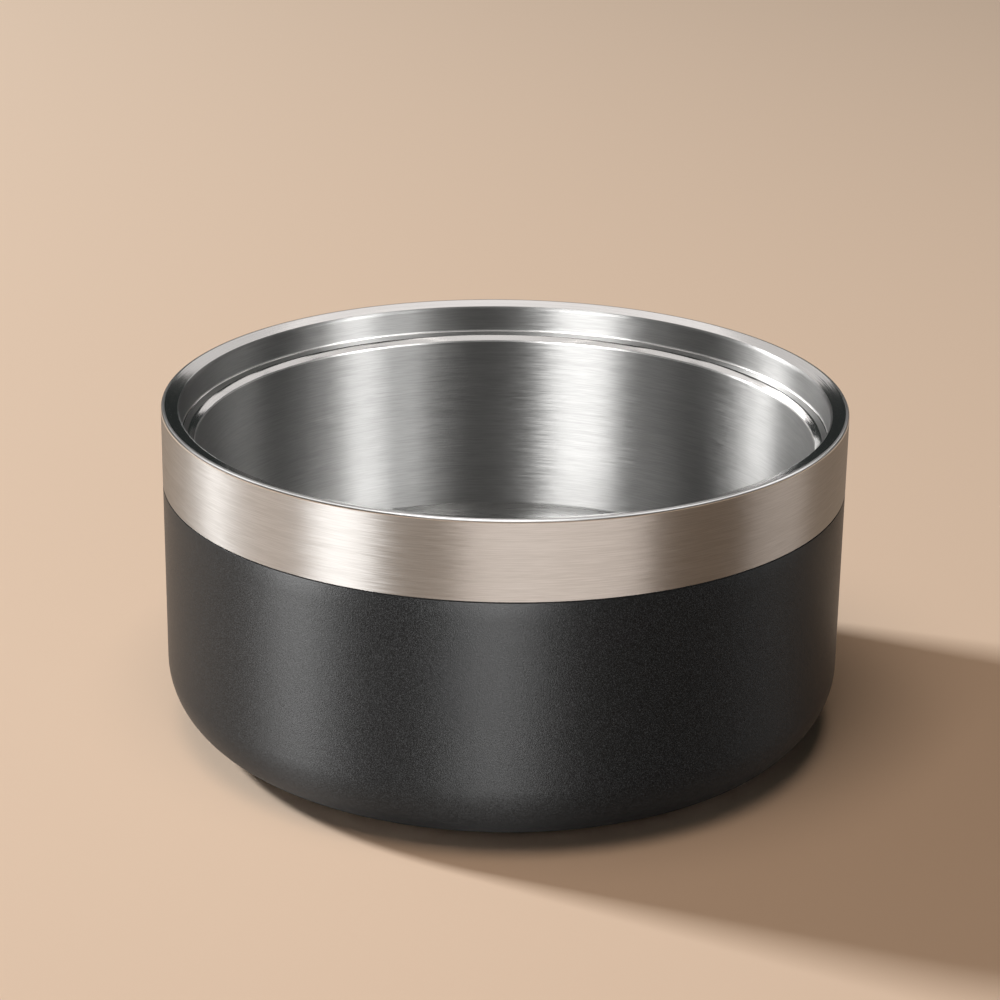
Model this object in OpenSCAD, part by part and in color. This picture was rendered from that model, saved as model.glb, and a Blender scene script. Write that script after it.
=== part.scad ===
// Double-wall steel dog bowl: a drawn liner welded into a drawn outer shell,
// a bare steel band under the rim, a powder coat below it and a rubber foot ring.
// Millimetres, +Z up, the table at z = 0, the bowl's axis on Z.

/* [Body] */
// Outside diameter of the straight wall
body_d = 203; // [160:1:280]
// Height from the table to the rim
body_h = 101; // [80:1:160]
// Outside radius of the bottom corner
corner_r = 21; // [14:1:30]
// Sheet thickness of the outer shell
shell_t = 0.8; // [0.5:0.1:1.5]
// Height of the bare steel band under the rim
band_h = 23.4; // [12:0.2:40]

/* [Rim] */
// Radial width of the lip, from the outside wall to the neck wall
lip_w = 5.6; // [4.6:0.1:9]
// Fall of the lip towards the inside, in degrees
lip_slope = 16; // [6:1:30]
// Inside bend radius where the lip rolls into the neck
lip_bend = 0.5; // [0.2:0.1:1]
// Height of the weld bead that closes the rim
weld_h = 0.9; // [0.6:0.1:1.5]
// Radius ground on the outer edge of the weld bead
weld_r = 0.8; // [0.3:0.05:1]
// Least flat that the ground edge leaves on the side and the top of the weld bead
weld_land = 0.1; // [0.05:0.05:0.2]
// Depth of the neck, from the rim to the ledge
neck_h = 9.2; // [6:0.2:16]
// Radius of the fillet at the foot of the neck
neck_r = 0.9; // [0.4:0.1:1.6]

/* [Inner bowl] */
// Sheet thickness of the liner
liner_t = 0.8; // [0.5:0.1:1.5]
// Radial width of the ledge, from the neck wall to the inner wall
ledge_w = 4.2; // [3.6:0.1:8]
// Radial width of the ledge's flatter outer part
ledge_flat = 2.2; // [1.8:0.1:2.6]
// Fall of the flatter part towards the inside, in degrees
ledge_slope = 18; // [6:1:30]
// Fall of the steeper inner part towards the inside, in degrees
ledge_fall = 40; // [32:1:50]
// Inside bend radius of the crown between the two parts
ledge_crown = 3.2; // [1:0.2:4]
// Inside bend radius where the ledge rolls into the inner wall
ledge_bend = 0.4; // [0.2:0.1:1]
// Draft of the inner wall, in degrees
wall_draft = 1.5; // [0.5:0.5:5]
// Radius between the inner wall and the floor
floor_r = 20; // [10:1:26]
// Air gap between the two floors
floor_gap = 9; // [4:0.5:20]

/* [Powder coat] */
// Thickness of the powder coat
coat_t = 0.3; // [0.2:0.05:0.5]
// Width of the groove between the band and the coat
groove_w = 0.4; // [0.3:0.1:1]

/* [Foot ring] */
// Height of the coated base above the table
foot_proud = 1; // [0.5:0.1:3]
// Straight side of the recess that seats the foot ring, between its bends
seat_h = 0.4; // [0.2:0.1:2]
// Bend radius inside the corners of the recess
seat_bend = 0.4; // [0.2:0.1:1]
// Flat of the base between the bottom corner and the recess
base_flat = 1.5; // [1:0.5:10]
// Radial width of the foot ring
foot_w = 9; // [5:0.5:20]
// Radius on the lower edges of the foot ring
foot_r = 0.6; // [0.2:0.1:1]
// Clearance between the foot ring and the side of its recess
foot_gap = 0.5; // [0.5:0.1:2]

/* [Hidden] */
$fn = 96;

// one step of a bend, in degrees
bend_step = 7.5;
body_r = body_d / 2;
// coat and sheet together, and the inside of the shell, where the lip butts against it
wall_t = coat_t + shell_t;
shell_in = body_r - wall_t;
band_foot = body_h - band_h;
// recess in the base, on the coat's face: its outer bend, its side and its ceiling
seat_r = seat_bend + wall_t;
seat_side = body_r - corner_r - base_flat - seat_r;
seat_z = foot_proud + seat_r + seat_h + seat_bend;
// visible face of the liner
neck_in = body_r - lip_w;
lip_foot = body_h - (shell_in - neck_in) * tan(lip_slope);
ledge_top = body_h - neck_h;
wall_in = neck_in - ledge_w;
crown_in = neck_in - ledge_flat;
crown_top = ledge_top - ledge_flat * tan(ledge_slope);
ledge_foot = crown_top - (crown_in - wall_in) * tan(ledge_fall);
floor_z = seat_z + wall_t + floor_gap + liner_t;
wall_foot = wall_in - (ledge_foot - floor_z) * tan(wall_draft);

function left_of(v) = [-v.y, v.x];
function way(a, b) = (b - a) / norm(b - a);
function turn(u, v) = atan2(u.x * v.y - u.y * v.x, u * v);
function reversed(list) = [for (i = [len(list) - 1 : -1 : 0]) list[i]];

// Points of the bend of radius r at corner b, on a face that goes from a to c,
// or on the sheet's other face, t to the left
function bend(a, b, c, r, t) =
    let (u = way(a, b), swing = turn(u, way(b, c)), side = sign(swing),
        centre = b - u * r * tan(abs(swing) / 2) + left_of(u) * r * side,
        steps = ceil(abs(swing) / bend_step))
    [for (k = [0 : steps])
        let (w = atan2(u.y, u.x) + swing * k / steps)
        centre + [sin(w), -cos(w)] * (r - t * side) * side];

// A face that runs along path p with bend radii r, or the other face, t to the left,
// without the path's first point
function face(p, r, t) =
    let (n = len(p) - 1)
    concat([for (i = [1 : n - 1]) each bend(p[i - 1], p[i], p[i + 1], r[i - 1], t)],
        [p[n] + left_of(way(p[n - 1], p[n])) * t]);

// Section of a sheet, t thick to the left of its path, that ends in the points of edge
module sheet(p, r, t, edge) {
    polygon(concat(edge, face(p, r, 0), reversed(face(p, r, t))));
}

// The base's face from the wall to the axis, d inside the coat's face, and its bend radii
function base_path(top, d) = [
    [body_r - d, top], [body_r - d, foot_proud + d], [seat_side + d, foot_proud + d],
    [seat_side + d, seat_z + d], [0, seat_z + d]];
function base_bends(d) = [corner_r - d, seat_r - d, seat_bend + d];

module inner_bowl() {
    path = [[shell_in, body_h], [neck_in, lip_foot], [neck_in, ledge_top],
        [crown_in, crown_top], [wall_in, ledge_foot], [wall_foot, floor_z], [0, floor_z]];
    bends = [lip_bend + liner_t, neck_r, ledge_crown + liner_t, ledge_bend + liner_t, floor_r];
    butt = [[shell_in, body_h - liner_t / cos(lip_slope)], [shell_in, body_h]];
    color("silver") rotate_extrude() sheet(path, bends, liner_t, butt);
}

module outer_shell() {
    top = body_h - weld_h;
    band = [[shell_in, top], [body_r, top], [body_r, band_foot], [body_r - coat_t, band_foot]];
    color("lightsteelblue") rotate_extrude()
        sheet(base_path(band_foot, coat_t), base_bends(coat_t), -shell_t, band);
}

module rim_weld() {
    foot = body_h - weld_h;
    edge_r = min(weld_r, weld_h - weld_land, wall_t - weld_land);
    top = [[body_r, foot], [body_r, body_h], [shell_in, body_h]];
    color("gainsboro") rotate_extrude()
        polygon(concat([[shell_in, foot], [body_r, foot]], face(top, [edge_r], 0)));
}

module powder_coat() {
    top = band_foot - groove_w;
    brim = [[body_r - coat_t, top], [body_r, top]];
    color("dimgray") rotate_extrude()
        sheet(base_path(top, 0), base_bends(0), -coat_t, brim);
}

module foot_ring() {
    out = seat_side - foot_gap;
    color("black") rotate_extrude() {
        translate([out - foot_w, foot_r]) square([foot_w, seat_z - foot_r]);
        translate([out - foot_w + foot_r, 0]) square([foot_w - 2 * foot_r, seat_z]);
        for (x = [out - foot_w + foot_r, out - foot_r]) translate([x, foot_r]) circle(foot_r);
    }
}

inner_bowl();
outer_shell();
rim_weld();
powder_coat();
foot_ring();
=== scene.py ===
import math
import bpy
from mathutils import Matrix, Vector


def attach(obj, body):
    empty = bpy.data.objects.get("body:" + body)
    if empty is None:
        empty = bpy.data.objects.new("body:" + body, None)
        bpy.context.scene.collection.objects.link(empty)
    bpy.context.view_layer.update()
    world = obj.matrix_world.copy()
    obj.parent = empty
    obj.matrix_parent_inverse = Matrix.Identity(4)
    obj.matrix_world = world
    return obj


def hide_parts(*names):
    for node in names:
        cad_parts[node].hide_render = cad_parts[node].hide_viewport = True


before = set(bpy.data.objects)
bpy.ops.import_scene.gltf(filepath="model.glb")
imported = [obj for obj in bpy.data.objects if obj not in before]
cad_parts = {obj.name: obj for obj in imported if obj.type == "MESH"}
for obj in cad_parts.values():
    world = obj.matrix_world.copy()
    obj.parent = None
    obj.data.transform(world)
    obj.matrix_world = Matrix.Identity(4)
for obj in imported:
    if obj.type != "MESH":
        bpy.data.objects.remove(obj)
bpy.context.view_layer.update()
print("frame loaded, nodes:", ", ".join(sorted(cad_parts)))

mm = 0.001
lathe = {"steps": 288, "bendStep": 4.5, "leastSteps": 3, "longestRun": 6.0,
         "sharpAngle": 38.0, "onAxis": 1e-6}


def leftOf(v):
    return Vector((-v.y, v.x))


def tanDeg(angle):
    return math.tan(math.radians(angle))


def arcPoints(x, y, radius, start, end, count):  # an arc about (x, y), from and to an angle in degrees
    turns = [math.radians(start + (end - start) * k / count) for k in range(count + 1)]
    return [(x + radius * math.cos(w), y + radius * math.sin(w)) for w in turns]


def bendPoints(a, b, c, radius, shift):  # the bend at corner b, on a face that lies shift to the left
    u = (b - a).normalized()
    v = (c - b).normalized()
    swing = math.atan2(u.x * v.y - u.y * v.x, u.dot(v))
    side = 1 if swing > 0 else -1
    centre = b - u * radius * math.tan(abs(swing) / 2) + leftOf(u) * radius * side
    count = max(lathe["leastSteps"], math.ceil(abs(swing) / math.radians(lathe["bendStep"])))
    start = math.atan2(u.y, u.x)
    reach = (radius - shift * side) * side
    turns = [start + swing * k / count for k in range(count + 1)]
    return [centre + Vector((math.sin(w), -math.cos(w))) * reach for w in turns]


def facePoints(path, radii, shift=0.0):  # one face of a sheet, without the path's first point
    path = [Vector(p) for p in path]
    points = []
    for i in range(1, len(path) - 1):
        points += bendPoints(path[i - 1], path[i], path[i + 1], radii[i - 1], shift)
    last = (path[-1] - path[-2]).normalized()
    return points + [path[-1] + leftOf(last) * shift]


def splitRuns(points):  # long straight runs get rings of their own
    out = [Vector(points[0])]
    for point in points[1:]:
        p = Vector(point)
        q = out[-1]
        parts = max(1, math.ceil((p - q).length / lathe["longestRun"]))
        out += [q.lerp(p, k / parts) for k in range(1, parts + 1)]
    return out


def turned(name, outline):  # spins a closed section, in mm, about Z
    loop = splitRuns(list(outline) + [outline[0]])[:-1]
    steps = lathe["steps"]
    verts = []
    rings = []
    for p in loop:
        if p.x < lathe["onAxis"]:
            rings.append([len(verts)] * steps)
            verts.append((0, 0, p.y * mm))
            continue
        rings.append(list(range(len(verts), len(verts) + steps)))
        for k in range(steps):
            w = 2 * math.pi * k / steps
            verts.append((p.x * math.cos(w) * mm, p.x * math.sin(w) * mm, p.y * mm))
    faces = []
    for i, ring in enumerate(rings):
        after = rings[(i + 1) % len(rings)]
        if ring[0] == ring[1] and after[0] == after[1]:
            continue  # both ends on the axis
        for k in range(steps):
            j = (k + 1) % steps
            quad = [ring[k], ring[j], after[j], after[k]]
            faces.append([v for n, v in enumerate(quad) if v not in quad[:n]])
    mesh = bpy.data.meshes.new(name)
    mesh.from_pydata(verts, [], faces)
    mesh.validate()
    area = sum(a.x * b.y - b.x * a.y for a, b in zip(loop, loop[1:] + loop[:1]))
    if area < 0:  # the section ran clockwise
        mesh.flip_normals()
    mesh.shade_smooth()
    mesh.set_sharp_from_angle(angle=math.radians(lathe["sharpAngle"]))
    piece = bpy.data.objects.new(name, mesh)
    bpy.context.scene.collection.objects.link(piece)
    return piece


def dress(piece, node, slot, *materials):
    for material in materials:
        piece.data.materials.append(material)
    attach(piece, "root")
    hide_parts(node)
    print("piece made:", piece.name, len(piece.data.polygons), "faces")


class Wire:  # one socket, so that shader maths reads as plain sums
    def __init__(self, board, socket):
        self.board = board
        self.socket = socket

    def maths(self, operation, first, second):
        return self.board.add("Math", {"operation": operation}, {0: first, 1: second})

    def __add__(self, other):
        return self.maths("ADD", self, other)

    def __radd__(self, other):
        return self.maths("ADD", other, self)

    def __sub__(self, other):
        return self.maths("SUBTRACT", self, other)

    def __rsub__(self, other):
        return self.maths("SUBTRACT", other, self)

    def __mul__(self, other):
        return self.maths("MULTIPLY", self, other)

    def __rmul__(self, other):
        return self.maths("MULTIPLY", other, self)

    def __truediv__(self, other):
        return self.maths("DIVIDE", self, other)

    def __rtruediv__(self, other):
        return self.maths("DIVIDE", other, self)

    def __pow__(self, other):
        return self.maths("POWER", self, other)

    def __rpow__(self, other):
        return self.maths("POWER", other, self)


class Board:  # the node tree of one material or of the world
    def __init__(self, owner):
        owner.use_nodes = True
        self.tree = owner.node_tree
        self.tree.nodes.clear()

    def add(self, kind, settings=None, inputs=None, output=0):  # settings first, then values or links
        node = self.tree.nodes.new("ShaderNode" + kind)
        for key, value in (settings or {}).items():
            setattr(node, key, value)
        for key, value in (inputs or {}).items():
            if isinstance(value, Wire):
                self.tree.links.new(value.socket, node.inputs[key])
            else:
                node.inputs[key].default_value = value
        return Wire(self, node.outputs[output]) if node.outputs else None

    def smooth(self, value, low, high):  # 0 below low, 1 above high
        return self.add("MapRange", {"interpolation_type": "SMOOTHSTEP"},
                        {"Value": value, "From Min": low, "From Max": high})

    def blend(self, share, first, second):  # two colours, by the Mix node's colour sockets
        return self.add("Mix", {"data_type": "RGBA"}, {0: share, 6: first, 7: second}, output=2)

    def noise(self, place, detail=1.0, scale=1.0):
        return self.add("TexNoise", None, {"Vector": place, "Scale": scale, "Detail": detail})

    def place(self):  # where a point lies on the piece, in metres
        return self.add("TexCoord", output="Object")

    def axes(self):  # x, y, z and the distance from the axis
        split = self.add("SeparateXYZ", None, {0: self.place()})
        x, y, z = (Wire(self, socket) for socket in split.socket.node.outputs)
        return x, y, z, (x * x + y * y) ** 0.5

    def vector(self, operation, *values):
        return self.add("VectorMath", {"operation": operation}, dict(enumerate(values)))

    def bump(self, height, depth, strength=1.0, normal=None):
        inputs = {"Strength": strength, "Distance": depth, "Height": height}
        if normal is not None:
            inputs["Normal"] = normal
        return self.add("Bump", None, inputs)

    def finish(self, shader):
        self.add("OutputMaterial", None, {"Surface": shader})


def newBoard(name):
    material = bpy.data.materials.new(name)
    return material, Board(material)


def rgb(*values):
    return (*values, 1.0)


aroundAxis = 0.25  # anisotropic rotation of a finish whose strokes run round the axis
strokeMix = {"hairAround": 1 / 3, "hairFine": 1.6, "swayAround": 0.7, "swayFine": 0.8,
             "cloudAround": 1.3, "cloudFine": 420.0, "cloudDetail": 2.0,
             "strokeShare": 0.45, "hairShare": 0.4, "cloudShare": 0.15, "low": 0.36, "high": 0.64}


def alongTurn(board, axes, around, across):  # noise place with streaks round the axis
    x, y, z, r = axes
    return board.add("CombineXYZ", None, {0: x / r * around, 1: y / r * around, 2: (z + r) * across})


def steel(name, look):  # sheet steel that was brushed while it turned
    material, board = newBoard(name)
    axes = board.axes()
    x, y, _, r = axes
    around = look["strokes"]
    fine = look["fine"]
    mix = strokeMix
    strokes = board.noise(alongTurn(board, axes, around, fine))
    hairs = board.noise(alongTurn(board, axes, around * mix["hairAround"], fine * mix["hairFine"]))
    sway = board.noise(alongTurn(board, axes, around * mix["swayAround"], fine * mix["swayFine"]))
    cloud = board.noise(alongTurn(board, axes, mix["cloudAround"], mix["cloudFine"]), mix["cloudDetail"])
    grain = strokes * mix["strokeShare"] + hairs * mix["hairShare"] + cloud * mix["cloudShare"]
    colour = board.blend(board.smooth(grain, mix["low"], mix["high"]), look["dark"], look["light"])
    rough = look["roughness"] + (grain - 0.5) * look["roughSpread"]
    tangent = board.add("CombineXYZ", None, {0: -1 * y / r, 1: x / r, 2: 0.0})
    leanShare = (sway - 0.5) * look["sway"]
    lean = board.add("VectorMath", {"operation": "SCALE"}, {0: tangent, "Scale": leanShare})
    facing = board.add("NewGeometry", output="Normal")
    normal = board.vector("NORMALIZE", board.vector("ADD", facing, lean))
    bump = board.bump(grain, look["depth"], normal=normal)
    shader = board.add("BsdfPrincipled", None, {
        "Base Color": colour, "Metallic": 1.0, "Roughness": rough, "Normal": bump,
        "Anisotropic": look["anisotropic"], "Anisotropic Rotation": aroundAxis})
    board.finish(shader)
    return material


def mattFinish(name, look):  # rubber, or the near-black painted shade in the groove under the band, without gloss
    material, board = newBoard(name)
    grain = board.noise(board.place(), look["detail"], look["scale"])
    colour = board.blend(board.smooth(grain, look["low"], look["high"]), look["dark"], look["light"])
    rough = look["roughness"] + (grain - 0.5) * look["roughSpread"]
    bump = board.bump(grain, look["depth"], look["strength"])
    shader = board.add("BsdfPrincipled", None, {"Base Color": colour, "Roughness": rough, "Normal": bump})
    board.finish(shader)
    return material


body = {"radius": 101.5, "height": 101.0, "cornerRadius": 21.0, "sheet": 0.8, "bandHeight": 23.4}  # mm
base = {"lift": 1.0, "seatBend": 0.4, "seatSide": 0.4, "flat": 1.5}  # the recess that seats the foot ring
coat = {"thick": 0.3, "groove": 0.4, "brimRound": 0.14, "brimSteps": 4}

wallThick = coat["thick"] + body["sheet"]
shellInside = body["radius"] - wallThick
bandFoot = body["height"] - body["bandHeight"]
seatRound = base["seatBend"] + wallThick
seatSide = body["radius"] - body["cornerRadius"] - base["flat"] - seatRound
seatTop = base["lift"] + seatRound + base["seatSide"] + base["seatBend"]


def basePath(top, inset):  # the face of the wall and base, inset from the coat's face
    low = base["lift"] + inset
    return [(body["radius"] - inset, top), (body["radius"] - inset, low), (seatSide + inset, low),
            (seatSide + inset, seatTop + inset), (0, seatTop + inset)]


def baseBends(inset):
    return [body["cornerRadius"] - inset, seatRound - inset, base["seatBend"] + inset]


brushed = {"dark": rgb(0.47, 0.465, 0.455), "light": rgb(0.57, 0.565, 0.555),
           "roughness": 0.45, "roughSpread": 0.12, "anisotropic": 0.97,
           "strokes": 14.0, "fine": 4400.0, "sway": 0.085, "depth": 0.000012}  # depth in metres
drawn = {**brushed, "dark": rgb(0.365, 0.361, 0.354), "light": rgb(0.445, 0.441, 0.433)}
# satin is a real smoother polish, but its colour is lighter than the liner's wall steel: painted light on
# the lip and on the ledge's bright lines
satinPaintedLight = {"dark": rgb(0.76, 0.745, 0.73), "light": rgb(0.83, 0.815, 0.80),
         "roughness": 0.12, "roughSpread": 0.04, "anisotropic": 0.4,
         "strokes": 8.0, "fine": 4200.0, "sway": 0.05, "depth": 0.000002}
# matt keeps satin's lighter colour: painted light on the ledge roll and the neck foot
mattPaintedLight = {**satinPaintedLight, "roughness": 0.42, "anisotropic": 0.93}
spun = {"dark": rgb(0.39, 0.386, 0.378), "light": rgb(0.455, 0.451, 0.443),
        "roughness": 0.28, "roughSpread": 0.08, "anisotropic": 0.8,
        "strokes": 10.0, "fine": 3600.0, "sway": 0.06, "depth": 0.000008}
liner = {"sheet": 0.8, "lipWidth": 5.6, "lipSlope": 16.0, "lipBend": 0.5,
         "neckHeight": 9.2, "neckRound": 0.9, "ledgeWidth": 4.2, "ledgeFlat": 2.2, "ledgeSlope": 18.0,
         "ledgeFall": 40.0, "ledgeCrown": 3.2, "ledgeBend": 0.4, "draft": 1.5,
         "floorRound": 20.0, "floorGap": 9.0,
         "satinPaintedLip": 0.9, "flatLedge": 0.88, "satinPaintedLedge": 0.69, "rollLedge": 0.3}  # bounds of a normal's z, which pick the faces that take the lighter steel of painted light


def makeInnerBowl():
    top = body["height"]
    sheet = liner["sheet"]
    neckIn = body["radius"] - liner["lipWidth"]
    lipFoot = top - (shellInside - neckIn) * tanDeg(liner["lipSlope"])
    ledgeTop = top - liner["neckHeight"]
    wallIn = neckIn - liner["ledgeWidth"]
    crownIn = neckIn - liner["ledgeFlat"]
    crownTop = ledgeTop - liner["ledgeFlat"] * tanDeg(liner["ledgeSlope"])
    ledgeFoot = crownTop - (crownIn - wallIn) * tanDeg(liner["ledgeFall"])
    floorZ = seatTop + wallThick + liner["floorGap"] + sheet
    wallFoot = wallIn - (ledgeFoot - floorZ) * tanDeg(liner["draft"])
    path = [(shellInside, top), (neckIn, lipFoot), (neckIn, ledgeTop), (crownIn, crownTop),
            (wallIn, ledgeFoot), (wallFoot, floorZ), (0, floorZ)]
    bends = [liner["lipBend"] + sheet, liner["neckRound"], liner["ledgeCrown"] + sheet,
             liner["ledgeBend"] + sheet, liner["floorRound"]]
    buttFoot = top - sheet / math.cos(math.radians(liner["lipSlope"]))
    butt = [(shellInside, buttFoot), (shellInside, top)]
    outline = butt + facePoints(path, bends) + facePoints(path, bends, sheet)[::-1]
    piece = turned("innerBowl", outline)
    finishes = [steel("linerBrushed", drawn), steel("lipSatinPaintedLight", satinPaintedLight),
                steel("floorSpun", spun), steel("rollMattPaintedLight", mattPaintedLight)]
    wallFinish, satinPaintedFinish, floorFinish, rollPaintedFinish = range(len(finishes))
    # lip and ledge slope satin, ledge roll and neck foot matt, both in a steel lighter than the wall's,
    # which paints light on these bands; floor spun, the rest brushed
    for face in piece.data.polygons:
        height = face.center.z / mm
        tilt = face.normal.z
        onLip = height > (ledgeTop + top) / 2
        onLedge = ledgeFoot - sheet < height and not onLip
        face.material_index = wallFinish
        if height < floorZ + liner["floorRound"]:
            face.material_index = floorFinish
        elif onLip and tilt > liner["satinPaintedLip"]:
            face.material_index = satinPaintedFinish
        elif onLedge and liner["rollLedge"] < tilt < liner["flatLedge"]:
            face.material_index = satinPaintedFinish if tilt > liner["satinPaintedLedge"] else rollPaintedFinish
    dress(piece, "inner_bowl", "liner_steel", *finishes)


weld = {"height": 0.9, "round": 0.8, "roundSteps": 8}
polished = {"dark": rgb(0.72, 0.71, 0.70), "light": rgb(0.78, 0.77, 0.76),
            "roughness": 0.28, "roughSpread": 0.05, "anisotropic": 0.3,
            "strokes": 8.0, "fine": 4200.0, "sway": 0.05, "depth": 0.000002}


def makeRimWeld():
    top = body["height"]
    low = top - weld["height"]
    out = body["radius"]
    r = weld["round"]
    edge = arcPoints(out - r, top - r, r, 0, 90, weld["roundSteps"])
    outline = [(shellInside, low), (out, low)] + edge + [(shellInside, top)]
    dress(turned("rimWeld", outline), "rim_weld", "weld_steel", steel("weldPolished", polished))


# near black: painted shade for the groove between the band and the coat; the foot's rubber borrows its
# grain settings
grooveShade = {"dark": rgb(0.003, 0.003, 0.003), "light": rgb(0.006, 0.006, 0.006),
          "roughness": 0.85, "roughSpread": 0.2, "scale": 900, "detail": 3.0, "low": 0.3, "high": 0.7,
          "depth": 0.0001, "strength": 0.2}


def makeOuterShell():
    top = body["height"] - weld["height"]
    band = [(shellInside, top), (body["radius"], top), (body["radius"], bandFoot),
            (body["radius"] - coat["thick"], bandFoot)]
    path = basePath(bandFoot, coat["thick"])
    bends = baseBends(coat["thick"])
    outline = band + facePoints(path, bends) + facePoints(path, bends, -body["sheet"])[::-1]
    piece = turned("outerShell", outline)
    for face in piece.data.polygons:  # only the band is bare; the shell below it shows only in the groove under the band, and its near-black colour there is painted shade
        face.material_index = 1 if face.center.z < bandFoot * mm else 0
    finishes = [steel("bandBrushed", brushed), mattFinish("grooveShadeBlack", grooveShade)]
    dress(piece, "outer_shell", "shell_steel", *finishes)


powder = {"dark": rgb(0.0006, 0.0007, 0.0008), "light": rgb(0.0025, 0.0028, 0.003),
          "spark": rgb(0.008, 0.0083, 0.0085), "sparkLow": 0.52, "sparkHigh": 0.7,
          "peelScale": 2600, "peelShare": 0.4, "gritScale": 4200, "gritShare": 0.6,
          "low": 0.35, "high": 0.65,
          "roughness": 0.42, "roughSpread": 0.4, "anisotropic": 0.8, "specular": 0.15, "depth": 0.00007}


def powderPaint(name, look):
    material, board = newBoard(name)
    place = board.place()
    peel = board.noise(place, scale=look["peelScale"])
    grit = board.noise(place, scale=look["gritScale"])
    grain = peel * look["peelShare"] + grit * look["gritShare"]
    colour = board.blend(board.smooth(grain, look["low"], look["high"]), look["dark"], look["light"])
    colour = board.blend(board.smooth(grit, look["sparkLow"], look["sparkHigh"]), colour, look["spark"])
    rough = look["roughness"] + (grit - 0.5) * look["roughSpread"]
    shader = board.add("BsdfPrincipled", None, {
        "Base Color": colour, "Roughness": rough, "Normal": board.bump(grain, look["depth"]),
        "Specular IOR Level": look["specular"],
        "Anisotropic": look["anisotropic"], "Anisotropic Rotation": aroundAxis})
    board.finish(shader)
    return material


def makePowderCoat():
    top = bandFoot - coat["groove"]
    out = body["radius"]
    r = coat["brimRound"]
    brim = [(out - coat["thick"], top)] + arcPoints(out - r, top - r, r, 90, 0, coat["brimSteps"])
    path = basePath(top, 0)
    bends = baseBends(0)
    outline = brim + facePoints(path, bends) + facePoints(path, bends, -coat["thick"])[::-1]
    dress(turned("powderCoat", outline), "powder_coat", "coat", powderPaint("powderBlack", powder))


foot = {"width": 9.0, "round": 0.6, "roundSteps": 5, "gap": 0.5}
rubber = {**grooveShade, "dark": rgb(0.014, 0.014, 0.014), "light": rgb(0.026, 0.026, 0.025), "roughness": 0.72}


def makeFootRing():
    out = seatSide - foot["gap"]
    inner = out - foot["width"]
    r = foot["round"]
    innerRound = arcPoints(inner + r, r, r, 180, 270, foot["roundSteps"])
    outerRound = arcPoints(out - r, r, r, 270, 360, foot["roundSteps"])
    outline = [(inner, seatTop)] + innerRound + outerRound + [(out, seatTop)]
    dress(turned("footRing", outline), "foot_ring", "foot_rubber", mattFinish("footRubber", rubber))


makeInnerBowl()
makeOuterShell()
makeRimWeld()
makePowderCoat()
makeFootRing()


floorLook = {"size": 6.0, "colour": rgb(0.77, 0.575, 0.43), "roughness": 0.7, "specular": 0.3}


def makeFloor():
    half = floorLook["size"] / 2
    corners = [(-half, -half, 0), (half, -half, 0), (half, half, 0), (-half, half, 0)]
    mesh = bpy.data.meshes.new("floor")
    mesh.from_pydata(corners, [], [(0, 1, 2, 3)])
    floor = bpy.data.objects.new("floor", mesh)
    bpy.context.scene.collection.objects.link(floor)
    material, board = newBoard("floorPlain")
    shader = board.add("BsdfPrincipled", None, {
        "Base Color": floorLook["colour"], "Roughness": floorLook["roughness"],
        "Specular IOR Level": floorLook["specular"]})
    board.finish(shader)
    mesh.materials.append(material)


worldLook = {"colour": rgb(0.02, 0.023, 0.022), "strength": 1.0}


def makeWorld():
    world = bpy.data.worlds.new("studio")
    bpy.context.scene.world = world
    board = Board(world)
    glow = board.add("Background", None, {"Color": worldLook["colour"], "Strength": worldLook["strength"]})
    board.add("OutputWorld", None, {"Surface": glow})


white = (1.0, 1.0, 1.0)
warmWhite = (1.0, 0.965, 0.95)
blushWhite = (1.0, 0.9, 0.84)
coolWhite = (0.9, 0.96, 1.0)
sandWhite = (1.0, 0.84, 0.7)
aimHeight = 0.7 * body["height"]  # where every lamp points
outside = ["outerShell", "powderCoat", "footRing"]
keySpot = {"azimuth": 157, "elevation": 31}
keyLamp = {**keySpot, "distance": 1.3, "width": 0.18, "height": 0.18, "tint": white}
fillLamp = {"azimuth": 250, "elevation": 74, "distance": 1.8, "width": 1.1, "height": 1.1, "tint": white}
lipLamp = {"distance": 1.6, "tint": warmWhite, "pieces": ["innerBowl", "rimWeld"]}
lipSmall = {**lipLamp, "elevation": 46, "width": 0.4, "height": 0.55, "glow": 0.3}
weldLamp = {"distance": 1.6, "glow": 1.3, "tint": white, "pieces": ["rimWeld"]}
linerLamp = {"distance": 1.6, "height": 0.6, "tint": white, "pieces": ["innerBowl"]}
bandLamp = {"distance": 1.6, "height": 0.44, "tint": blushWhite, "pieces": ["outerShell"]}
coatLamp = {"distance": 1.6, "elevation": 10, "height": 0.5, "tint": white, "pieces": ["powderCoat"]}
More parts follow.
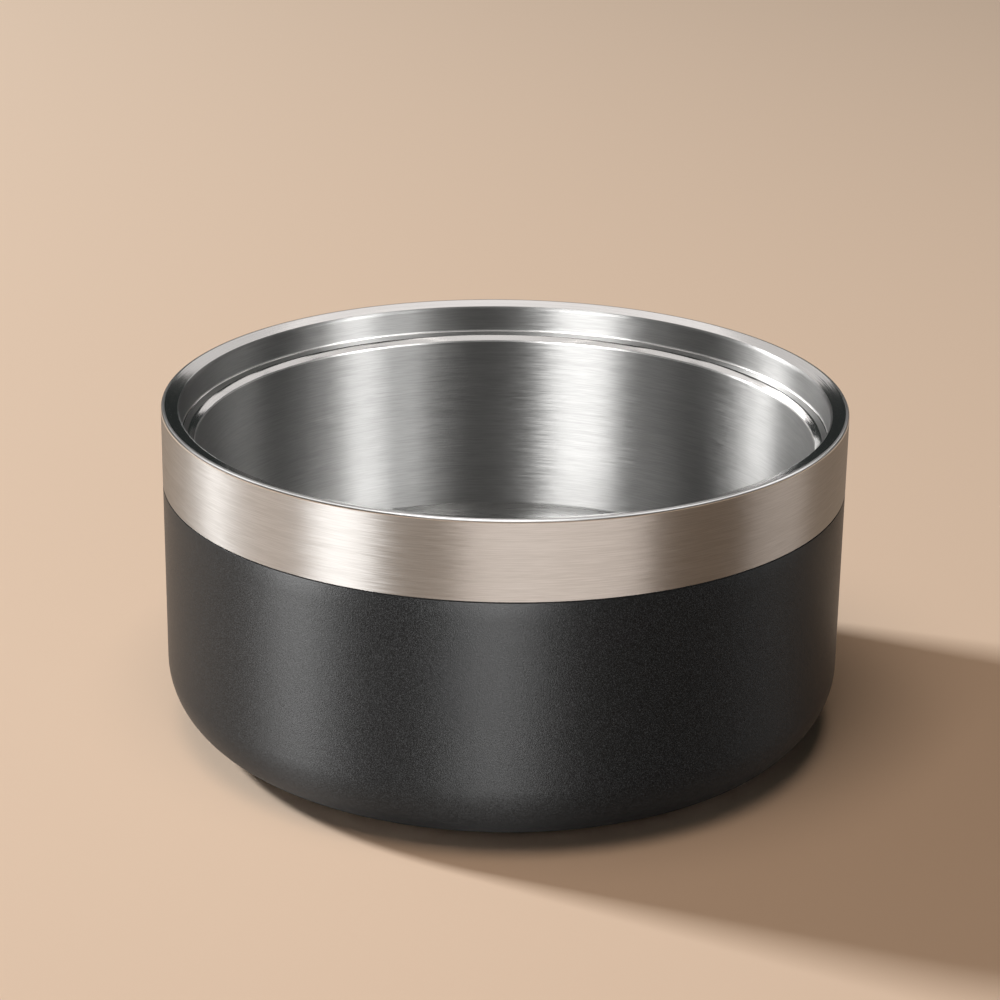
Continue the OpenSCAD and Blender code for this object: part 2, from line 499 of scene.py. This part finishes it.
softboxes = {  # degrees, metres and brightness, where 1 is white; each box lights the pieces that it lists
    "keyBox": {**keySpot, "distance": 3.9, "width": 0.48, "height": 0.48, "glow": 245.0,
               "tint": coolWhite, "pieces": ["floor"]},
    "keySide": {**keyLamp, "glow": 76.0, "pieces": outside},
    "keyCoat": {**keyLamp, "glow": 76.0, "pieces": ["powderCoat"]},
    "fillCoat": {**fillLamp, "glow": 2.7, "pieces": ["powderCoat"]},
    "fillBox": {**fillLamp, "glow": 2.7, "pieces": outside + ["rimWeld"]},
    "floorFill": {**fillLamp, "glow": 3.6, "tint": sandWhite, "pieces": ["floor"]},
    "lipPanel": {**lipLamp, "azimuth": 90, "elevation": 54, "width": 0.7, "height": 0.8, "glow": 0.92},
    "lipLow": {**lipLamp, "azimuth": 90, "elevation": 33, "width": 0.7, "height": 0.42, "glow": 0.64},
    "lipFront": {**lipSmall, "azimuth": 270},
    "lipEast": {**lipSmall, "azimuth": 0},
    "lipWest": {**lipSmall, "azimuth": 180},
    "weldFront": {**weldLamp, "azimuth": 270, "elevation": 40, "width": 1.4, "height": 1.0},
    "rimTop": {"azimuth": 90, "elevation": 88, "distance": 1.5, "width": 0.7, "height": 0.7, "glow": 0.78,
               "tint": warmWhite, "pieces": ["innerBowl"]},
    "linerLeft": {**linerLamp, "azimuth": 239, "elevation": 26, "width": 0.74, "glow": 21.1},
    "linerSide": {**linerLamp, "azimuth": 309, "elevation": 26, "width": 0.2, "glow": 12.2},
    "linerRight": {**linerLamp, "azimuth": 331, "elevation": 30, "width": 0.43, "glow": 20.5},
    "linerKey": {**linerLamp, "azimuth": 146, "elevation": 29, "width": 0.24, "glow": 34.0},
    "linerEdge": {**linerLamp, "azimuth": 122, "elevation": 26, "width": 0.4, "glow": 3.0},
    "bandLeft": {**bandLamp, "azimuth": 219, "elevation": 12, "width": 0.6, "glow": 15.5, "tint": white},
    "bandWide": {**bandLamp, "azimuth": 192, "elevation": 12, "width": 0.7, "glow": 3.0},
    "bandFront": {**bandLamp, "azimuth": 286, "elevation": 10, "width": 1.75, "glow": 6.6},
    "bandRight": {**bandLamp, "azimuth": 6, "elevation": 10, "width": 0.75, "glow": 2.5},
    "coatLeft": {**coatLamp, "azimuth": 204, "width": 0.42, "glow": 154.0},
    "coatFront": {**coatLamp, "azimuth": 268, "width": 0.56, "glow": 94.0},
    "coatRight": {**coatLamp, "azimuth": 2, "width": 0.7, "glow": 7.0, "tint": coolWhite},
}
hoops = {  # rows of panels that the rim mirrors; a stop is an azimuth and an elevation, with a twin across
    "ledge": {"stops": [(4, 72), (24, 60), (39, 48), (51, 36), (61, 24)],
              "panel": {**lipLamp, "width": 0.5, "height": 0.33, "glow": 0.74}},
    "weld": {"stops": [(336, 52), (20, 34)],
             "panel": {**weldLamp, "width": 0.9, "height": 0.85}},
}


def hoopPanels():
    panels = {}
    for name, hoop in hoops.items():
        for k, (azimuth, elevation) in enumerate(hoop["stops"]):
            spot = {**hoop["panel"], "elevation": elevation}
            panels["%sRight%d" % (name, k)] = {**spot, "azimuth": azimuth}
            panels["%sLeft%d" % (name, k)] = {**spot, "azimuth": 180 - azimuth}
    return panels


def makeSoftbox(name, box):
    a = math.radians(box["azimuth"])
    e = math.radians(box["elevation"])
    aim = Vector((0, 0, aimHeight * mm))
    away = Vector((math.cos(a) * math.cos(e), math.sin(a) * math.cos(e), math.sin(e)))
    place = aim + box["distance"] * away
    data = bpy.data.lights.new(name, "AREA")
    data.shape = "RECTANGLE"
    data.size = box["width"]
    data.size_y = box["height"]
    data.energy = box["glow"] * math.pi * box["width"] * box["height"]
    data.color = box["tint"]
    lamp = bpy.data.objects.new(name, data)
    bpy.context.scene.collection.objects.link(lamp)
    lamp.location = place
    lamp.rotation_euler = (aim - place).to_track_quat("-Z", "Y").to_euler()
    group = bpy.data.collections.new(name + "Pieces")
    for piece in box["pieces"]:
        group.objects.link(bpy.data.objects[piece])
    lamp.light_linking.receiver_collection = group


shot = {"lens": 102.17, "sensor": 36.0, "place": (0.0, -0.7979, 0.3694),
        "yaw": -0.083, "pitch": 20.671, "roll": 0.765}  # mm, metres and degrees


def makeCamera():
    yaw, pitch, roll = (math.radians(shot[k]) for k in ("yaw", "pitch", "roll"))
    ahead = Vector((math.sin(yaw) * math.cos(pitch), math.cos(yaw) * math.cos(pitch), -math.sin(pitch)))
    side = ahead.cross(Vector((0, 0, 1))).normalized()
    up = side.cross(ahead)
    right = side * math.cos(roll) + up * math.sin(roll)
    top = up * math.cos(roll) - side * math.sin(roll)
    data = bpy.data.cameras.new("photoCamera")
    data.lens = shot["lens"]
    data.sensor_width = shot["sensor"]
    camera = bpy.data.objects.new("photoCamera", data)
    bpy.context.scene.collection.objects.link(camera)
    turn = Matrix((right, top, -ahead)).transposed()
    camera.matrix_world = Matrix.Translation(shot["place"]) @ turn.to_4x4()
    bpy.context.scene.camera = camera


makeFloor()
makeWorld()
for boxName, box in {**softboxes, **hoopPanels()}.items():
    makeSoftbox(boxName, box)
makeCamera()
bpy.context.scene.view_settings.view_transform = "Standard"
print("floor, light and camera set")
